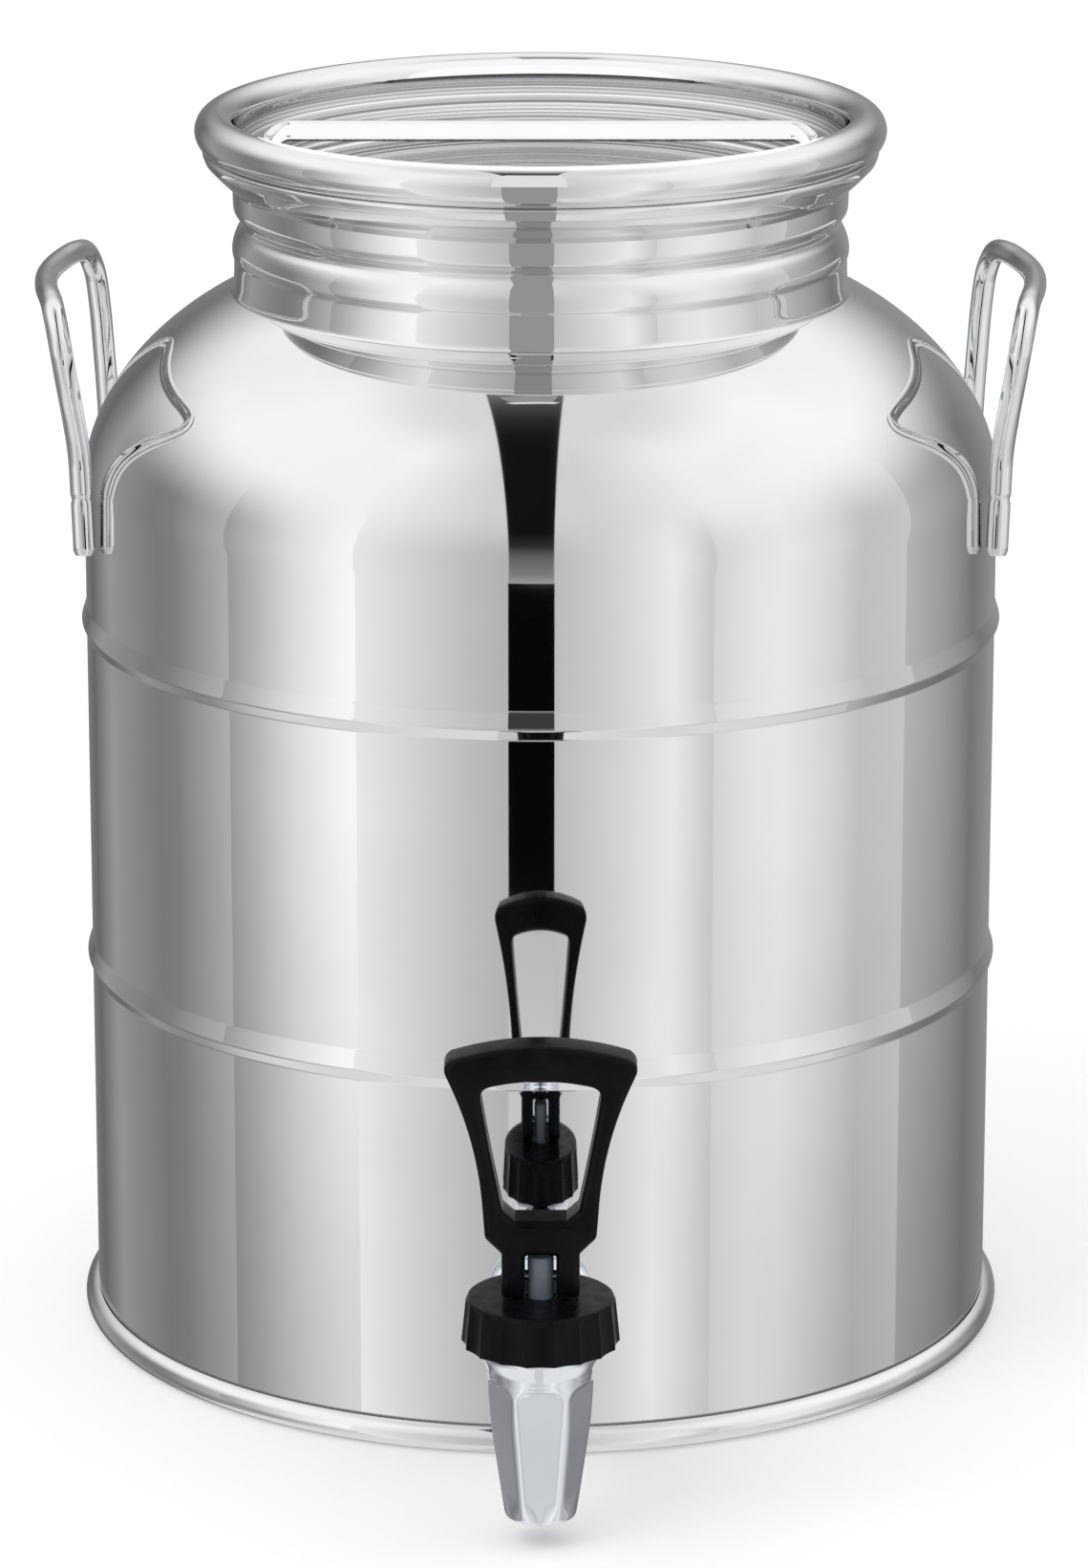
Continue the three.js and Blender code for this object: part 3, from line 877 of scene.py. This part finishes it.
LEVER_LEAN = math.radians(3)
LEVER_THICKNESS = 9.5
LEVER_EDGE = 1.7
FORK_HALF = 3.75  # half the gap between the fork's legs
FORK_FOOT, FORK_CROTCH = -4.3, 6.4


def other_side(half):
    """The mirror image of a half outline, in the order that carries the outline on."""
    return [(-p[0], *p[1:]) for p in reversed(half)]


def lever():
    """Moulded plate with a finger opening: a filled, bevelled curve turned into a mesh."""
    side = [
        (FORK_HALF, FORK_CROTCH, 0.8),
        (FORK_HALF, FORK_FOOT, 0.5),
        (9.4, FORK_FOOT, 0.9),
        (9.4, 6.9, 1.2),
        (13.4, 10.9, 2.4),
        (13.9, 17.6, 8),
        *bezier((13.9, 17.6), (15.0, 36), (22.6, 52.2), 14)[:-1],
        *bezier((22.6, 52.2), (23.8, 55.0), (21.2, 56.6), 8),
    ]
    crown = bezier((21.2, 56.6), (0, 63.2), (-21.2, 56.6), 28)[:-1]
    outer = side + crown + other_side(side)
    opening = [
        (6.2, 15.5, 0.8),
        (9.1, 18.1, 1.2),
        *bezier((9.1, 18.1), (12.4, 34), (14.2, 46.4), 12)[1:],
        *bezier((14.2, 46.4), (14.6, 48.9), (12.0, 49.6), 8),
    ]
    arch = bezier((12.0, 49.6), (0, 52.4), (-12.0, 49.6), 20)[:-1]
    opening = opening + arch + other_side(opening)

    curve = bpy.data.curves.new("lever_outline", "CURVE")
    curve.dimensions = "2D"
    curve.fill_mode = "BOTH"
    curve.extrude = (LEVER_THICKNESS / 2 - LEVER_EDGE) * MM
    curve.bevel_depth = LEVER_EDGE * MM
    curve.bevel_resolution = 5
    curve.offset = -LEVER_EDGE * MM
    for outline in (outer, opening):
        points = rounded(outline)
        line = curve.splines.new("POLY")
        line.points.add(len(points) - 1)
        for target, (x, y) in zip(line.points, points):
            target.co = (x * MM, y * MM, 0, 1)
        line.use_cyclic_u = True
    shape = bpy.data.objects.new("lever_outline", curve)
    bpy.context.scene.collection.objects.link(shape)
    graph = bpy.context.evaluated_depsgraph_get()
    mesh = bpy.data.meshes.new_from_object(shape.evaluated_get(graph))
    bpy.data.objects.remove(shape)
    mesh.name = "lever_moulding"
    mesh.transform(Matrix.Rotation(math.pi / 2, 4, "X"))
    mesh.transform(Matrix.Rotation(LEVER_LEAN, 4, "X"))
    edit = bmesh.new()
    edit.from_mesh(mesh)
    bmesh.ops.remove_doubles(edit, verts=edit.verts, dist=1e-6)
    edit.to_mesh(mesh)
    edit.free()
    obj = bpy.data.objects.new("lever_moulding", mesh)
    bpy.context.scene.collection.objects.link(obj)
    obj.location = STEM_AXIS + Vector((0, 0, PIN_Z * MM))
    return finish_piece(obj, "black_plastic", "lever", ["lever"], 30)


# ---------------------------------------------------------------- assembly
piece("can_body", body_shell(), CAN_AXIS, "polished_steel", "can", ["body_shell"])
piece("can_shoulder", shoulder_dome(), CAN_AXIS, "polished_steel", "can", ["shoulder_dome"])
piece("can_neck", neck_collar(), CAN_AXIS, "polished_steel", "can", ["neck_collar"])
piece("can_mouth", mouth_rim(), CAN_AXIS, "polished_steel", "can", ["mouth_rim"])
piece("can_foot", foot_ring(), CAN_AXIS, "polished_steel", "can", ["foot_ring"])
piece("can_bottom", bottom_pan(), CAN_AXIS, "brushed_steel", "can", ["bottom_pan"])
piece("handle_bar_left", side_handle(-1), CAN_AXIS, "polished_steel", "can", ["handle_left"])
piece("handle_bar_right", side_handle(1), CAN_AXIS, "polished_steel", "can", ["handle_right"])

piece("lid_curl", lid_rim(), CAN_AXIS, "polished_steel", "lid", ["lid_rim"])
piece("lid_dish_wall", lid_dish(), CAN_AXIS, "brushed_steel", "lid", ["lid_pan"])
piece("lid_dish_floor", lid_floor(), CAN_AXIS, "brushed_steel", "lid", ["lid_pan"])
piece("lid_grab_bar", lid_bar(), CAN_AXIS, "polished_steel", "lid", ["lid_bar"])
piece("lid_gasket", lid_seal(), CAN_AXIS, "silicone", "lid", ["lid_seal"])

piece("faucet_casting", faucet_body(), STEM_AXIS, "chrome", "can", ["faucet_body"])
piece("faucet_thread", threaded_shank(), STEM_AXIS, "chrome", "can", ["faucet_shank"])
flange = ring_along_y("shank_flange", SHANK_HOLE_R, FLANGE_R, 0.9)
piece("faucet_flange", flange, STEM_AXIS, "chrome", "can", ["shank_flange"])
washer = ring_along_y("outer_washer", SHANK_HOLE_R, WASHER_R, 0.6)
piece("washer_outside", washer, STEM_AXIS, "rubber", "can", ["outer_washer"])
washer = ring_along_y("inner_washer", SHANK_HOLE_R, WASHER_R, 0.6)
piece("washer_inside", washer, STEM_AXIS, "rubber", "can", ["inner_washer"])
nut = ring_along_y("shank_nut", SHANK_HOLE_R, NUT_FLATS / math.sqrt(3), 0.2, hexagon, 1.4)
piece("shank_hex_nut", nut, STEM_AXIS, "polished_steel", "can", ["shank_nut"], 25)
piece("faucet_bonnet", bonnet_collar(), STEM_AXIS, "black_plastic", "can", ["bonnet_collar"])
coil = piece("closing_coil", closing_coil(), STEM_AXIS, "brushed_steel", "can", ["closing_spring"])
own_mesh(coil)

piece("valve_rod", valve_stem(), STEM_AXIS, "stem_plastic", "stem", ["valve_stem"])
piece("valve_seat", seat_cup(), STEM_AXIS, "silicone", "stem", ["seat_cup"])
piece("hinge_pin", lever_pin(), STEM_AXIS, "polished_steel", "stem", ["lever_pin"])
lever()


# ---------------------------------------------------------------- studio
def linear(grey):
    """Linear brightness of a display grey from 0 to 255."""
    value = grey / 255
    return value / 12.92 if value < 0.04045 else ((value + 0.055) / 1.055) ** 2.4


# Brightness of the softboxes and gaps round the can, as (direction in degrees, display grey):
# 0 is towards the camera and 90 is +X. A pair of close directions is a panel's hard edge.
LOW_PANELS = (
    (-180, 125), (-156, 98), (-147, 125), (-139, 147), (-122, 132), (-112, 121), (-104, 125), (-96, 146),
    (-84.6, 173), (-84.2, 152), (-75, 182), (-63, 221), (-52, 243), (-46.9, 247), (-46.5, 231), (-33, 211),
    (-19, 190), (-9, 178), (4, 187), (18, 208), (33, 233), (43.4, 199), (43.8, 211), (54, 227),
    (63, 231), (77, 213), (87, 191), (103.8, 197), (104.4, 179), (123, 151), (140, 114), (160, 135),
)
FOOT_PANELS = (
    (-180, 118), (-154, 98), (-145, 120), (-137, 143), (-120, 128), (-111, 117), (-103, 120), (-95, 136),
    (-84.6, 154), (-84.2, 132), (-75, 154), (-63, 185), (-52, 205), (-46.9, 209), (-46.5, 232), (-33, 211),
    (-19, 190), (-9, 178), (4, 187), (18, 209), (28, 229), (43.4, 194), (43.8, 203), (54, 213),
    (63, 208), (77, 184), (87, 167), (103.8, 175), (104.4, 149), (123, 128), (140, 107), (160, 120),
)
HIGH_PANELS = (
    (-180, 238), (-140, 236), (-110, 244), (-50, 242), (-15, 207),
    (15, 207), (50, 238), (110, 246), (140, 240), (180, 238),
)
OVERHEAD = 214
FLOOR_GREY = 214
PLAIN_LIGHT = 0.97  # what the camera and the diffuse surfaces get from the surroundings
# The dark gap in front of the can: its edges by the X of the direction, and its shade by the
# angle from straight ahead (0) over the top (90) to the back.
GAP_EDGES = (-0.1335, 0.0567)
GAP_EDGE_BLUR = 0.0015
GAP_SHADES = (
    (-90, 192), (-18, 196), (-14, 148), (-11, 143), (-6, 125), (8, 98), (17, 42), (25, 17),
    (70, 18), (77, 24), (84, 40), (90, 66), (100, 118),
)


HARD_EDGE = 0.7  # stops closer than this many degrees are one hard edge
EDGE_BLUR = 0.06


def mapped(tree, source, start, end, to=1.0):
    node = tree.nodes.new("ShaderNodeMapRange")
    node.inputs["From Min"].default_value = start
    node.inputs["From Max"].default_value = end
    node.inputs["To Max"].default_value = to
    tree.links.new(source, node.inputs["Value"])
    return node.outputs["Result"]


def ramp(tree, source, stops):
    """Brightness from stops (angle in degrees, display grey). A colour ramp carries the smooth part,
    and each hard edge is a step of its own, because a ramp would blur it."""
    node = tree.nodes.new("ShaderNodeValToRGB")
    elements = node.color_ramp.elements
    elements.remove(elements[1])
    raised, edges, first = 0.0, [], True
    for i, (angle, grey) in enumerate(stops):
        level = linear(grey)
        if i and angle - stops[i - 1][0] < HARD_EDGE:
            jump = level - linear(stops[i - 1][1])
            raised += jump
            edges.append(((angle + stops[i - 1][0]) / 2, jump))
            continue
        position = (angle + 180) / 360
        stop = elements[0] if first else elements.new(position)
        first = False
        stop.position = position
        smooth = level - raised
        stop.color = (smooth, smooth, smooth, 1)
    tree.links.new(mapped(tree, source, -180, 180), node.inputs["Fac"])
    total = node.outputs["Color"]
    for angle, jump in edges:
        add = tree.nodes.new("ShaderNodeMath")
        tree.links.new(total, add.inputs[0])
        tree.links.new(mapped(tree, source, angle - EDGE_BLUR, angle + EDGE_BLUR, jump), add.inputs[1])
        total = add.outputs["Value"]
    return total


def world_nodes():
    world = bpy.data.worlds.new("studio")
    world.use_nodes = True
    bpy.context.scene.world = world
    tree = world.node_tree
    tree.nodes.clear()

    def math_node(operation, *values):
        node = tree.nodes.new("ShaderNodeMath")
        node.operation = operation
        for socket, value in zip(node.inputs, values):
            if isinstance(value, (int, float)):
                socket.default_value = value
            else:
                tree.links.new(value, socket)
        return node.outputs["Value"]

    def mixed(factor, first, second):
        node = tree.nodes.new("ShaderNodeMix")
        node.data_type = "RGBA"
        tree.links.new(factor, node.inputs["Factor"])
        for socket, value in ((node.inputs["A"], first), (node.inputs["B"], second)):
            if isinstance(value, (int, float)):
                socket.default_value = (value, value, value, 1)
            else:
                tree.links.new(value, socket)
        return node.outputs["Result"]

    def blend(source, start, end):
        node = tree.nodes.new("ShaderNodeMapRange")
        node.interpolation_type = "SMOOTHSTEP"
        node.inputs["From Min"].default_value = start
        node.inputs["From Max"].default_value = end
        tree.links.new(source, node.inputs["Value"])
        return node.outputs["Result"]

    direction = tree.nodes.new("ShaderNodeTexCoord").outputs["Generated"]
    split = tree.nodes.new("ShaderNodeSeparateXYZ")
    tree.links.new(direction, split.inputs["Vector"])
    x, y, z = (split.outputs[name] for name in "XYZ")
    azimuth = math_node("MULTIPLY", math_node("ARCTAN2", x, math_node("MULTIPLY", y, -1)), 180 / math.pi)
    elevation = math_node("MULTIPLY", math_node("ARCSINE", z), 180 / math.pi)

    low = mixed(
        blend(elevation, -15, -22),
        ramp(tree, azimuth, LOW_PANELS),
        ramp(tree, azimuth, FOOT_PANELS),
    )
    high = ramp(tree, azimuth, HIGH_PANELS)
    walls = mixed(blend(elevation, 6, 38), low, high)
    walls = mixed(blend(elevation, 58, 78), walls, linear(OVERHEAD))
    walls = mixed(blend(elevation, -38, -52), walls, linear(FLOOR_GREY))
    over = math_node("MULTIPLY", math_node("ARCTAN2", z, math_node("MULTIPLY", y, -1)), 180 / math.pi)
    gap = ramp(tree, over, GAP_SHADES)
    inside = math_node(
        "MULTIPLY",
        blend(x, GAP_EDGES[0] - GAP_EDGE_BLUR, GAP_EDGES[0] + GAP_EDGE_BLUR),
        blend(x, GAP_EDGES[1] + GAP_EDGE_BLUR, GAP_EDGES[1] - GAP_EDGE_BLUR),
    )
    in_front = math_node("MULTIPLY", blend(over, 122, 92), blend(over, -150, -90))
    reflected = mixed(math_node("MULTIPLY", inside, in_front), walls, gap)

    path = tree.nodes.new("ShaderNodeLightPath")
    plain = math_node("MAXIMUM", path.outputs["Is Camera Ray"], path.outputs["Is Diffuse Ray"])
    background = tree.nodes.new("ShaderNodeBackground")
    background.inputs["Strength"].default_value = 1 / STEEL[1]
    tree.links.new(mixed(plain, reflected, PLAIN_LIGHT * STEEL[1]), background.inputs["Color"])
    output = tree.nodes.new("ShaderNodeOutputWorld")
    tree.links.new(background.outputs["Background"], output.inputs["Surface"])


FLOOR_HALF = 6.0
FLOOR_GLOW = 0.14


def floor():
    half = FLOOR_HALF
    corners = [(-half, -half, 0), (half, -half, 0), (half, half, 0), (-half, half, 0)]
    mesh = bpy.data.meshes.new("floor")
    mesh.from_pydata(corners, [], [(0, 1, 2, 3)])
    obj = bpy.data.objects.new("floor", mesh)
    bpy.context.scene.collection.objects.link(obj)
    material = bpy.data.materials.new("floor_paper")
    material.use_nodes = True
    shader = material.node_tree.nodes["Principled BSDF"]
    shader.inputs["Base Color"].default_value = (0.93, 0.93, 0.935, 1)
    shader.inputs["Roughness"].default_value = 0.9
    shader.inputs["Specular IOR Level"].default_value = 0.0
    shader.inputs["Emission Color"].default_value = (1, 1, 1, 1)
    shader.inputs["Emission Strength"].default_value = FLOOR_GLOW
    mesh.materials.append(material)
    obj.visible_glossy = False


def card(name, low, high, grey):
    """Upright or level card between two corners, which shows in mirror reflections only."""
    corners = [
        low,
        (high[0], low[1], low[2]),
        high,
        (low[0], high[1], high[2]),
    ]
    mesh = bpy.data.meshes.new(name)
    mesh.from_pydata(corners, [], [(0, 1, 2, 3)])
    obj = bpy.data.objects.new(name, mesh)
    bpy.context.scene.collection.objects.link(obj)
    material = bpy.data.materials.new(name)
    material.use_nodes = True
    shader = material.node_tree.nodes["Principled BSDF"]
    brightness = linear(grey)
    shader.inputs["Base Color"].default_value = (0, 0, 0, 1)
    shader.inputs["Specular IOR Level"].default_value = 0.0
    shader.inputs["Emission Color"].default_value = (brightness, brightness, brightness, 1)
    shader.inputs["Emission Strength"].default_value = 1 / STEEL[1]
    mesh.materials.append(material)
    obj.visible_camera = False
    obj.visible_diffuse = False
    obj.visible_shadow = False


def soft_light(name, place, target, size, power):
    """Area light that lights the diffuse surfaces and stays out of the mirror reflections."""
    data = bpy.data.lights.new(name, "AREA")
    data.shape = "DISK"
    data.size = size
    data.energy = power
    obj = bpy.data.objects.new(name, data)
    bpy.context.scene.collection.objects.link(obj)
    obj.location = place
    obj.rotation_euler = (Vector(target) - Vector(place)).to_track_quat("-Z", "Y").to_euler()
    obj.visible_glossy = False


CAMERA_DISTANCE = 1.70045
CAMERA_HEIGHT = 0.62198
CAMERA_PITCH = math.radians(15.79)
CAMERA_LENS = 154.65
CAMERA_SHIFT = 3.5 / 1641  # the can's axis stands a little left of the frame's middle


def camera():
    data = bpy.data.cameras.new("camera")
    data.lens = CAMERA_LENS
    data.sensor_width = 36
    data.shift_x = CAMERA_SHIFT
    data.clip_start = 0.05
    obj = bpy.data.objects.new("camera", data)
    bpy.context.scene.collection.objects.link(obj)
    obj.location = (0, CAN_AXIS.y - CAMERA_DISTANCE, CAMERA_HEIGHT)
    obj.rotation_euler = (math.pi / 2 - CAMERA_PITCH, 0, 0)
    bpy.context.scene.camera = obj


world_nodes()
floor()
# Cards that show in the mirrors only. A black one before the can's wall darkens the middle of the wall,
# and a grey one right before the neck keeps the neck grey there. The others light the rim and the lid's
# bar, and darken the dish behind the bar.
WALL_FRONT = CAN_AXIS.y - BODY_R * MM
LID_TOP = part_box("lid_rim")[1].z
BLACK_CARD_Y = WALL_FRONT - 0.48
NECK_CARD_Y = CAN_AXIS.y - 0.0925
BAR_CARD_Y = CAN_AXIS.y - 0.012
DISH_CARD_Y = CAN_AXIS.y + 0.005
RIM_MIDDLE_Z = LID_TOP - 0.0028
UNDER_BAR_Z = 0.3045
LID_CARD_Z = LID_TOP + 0.11
card("black_card", (-0.075, BLACK_CARD_Y, -0.002), (0.032, BLACK_CARD_Y, 0.105), 7)
card("neck_card", (-0.0106, NECK_CARD_Y, 0.2705), (0.0045, NECK_CARD_Y, RIM_MIDDLE_Z), 145)
card("rim_card", (-0.0135, NECK_CARD_Y, RIM_MIDDLE_Z), (0.0072, NECK_CARD_Y, 0.365), 222)
card("bar_card", (-0.071, BAR_CARD_Y, UNDER_BAR_Z), (0.071, BAR_CARD_Y, LID_CARD_Z), 252)
card("under_card", (-0.064, BAR_CARD_Y, UNDER_BAR_Z), (0.064, CAN_AXIS.y - 0.001, UNDER_BAR_Z), 250)
card("dish_card", (-0.072, DISH_CARD_Y, 0.3), (0.072, DISH_CARD_Y, 0.3175), 60)
card("lid_card", (-0.075, BAR_CARD_Y, LID_CARD_Z), (0.075, CAN_AXIS.y + 0.085, LID_CARD_Z), 246)
soft_light("key", (-1.3, -1.2, 2.0), (0, 0, 0.15), 1.4, 9)
camera()
bpy.context.scene.view_settings.view_transform = "Standard"
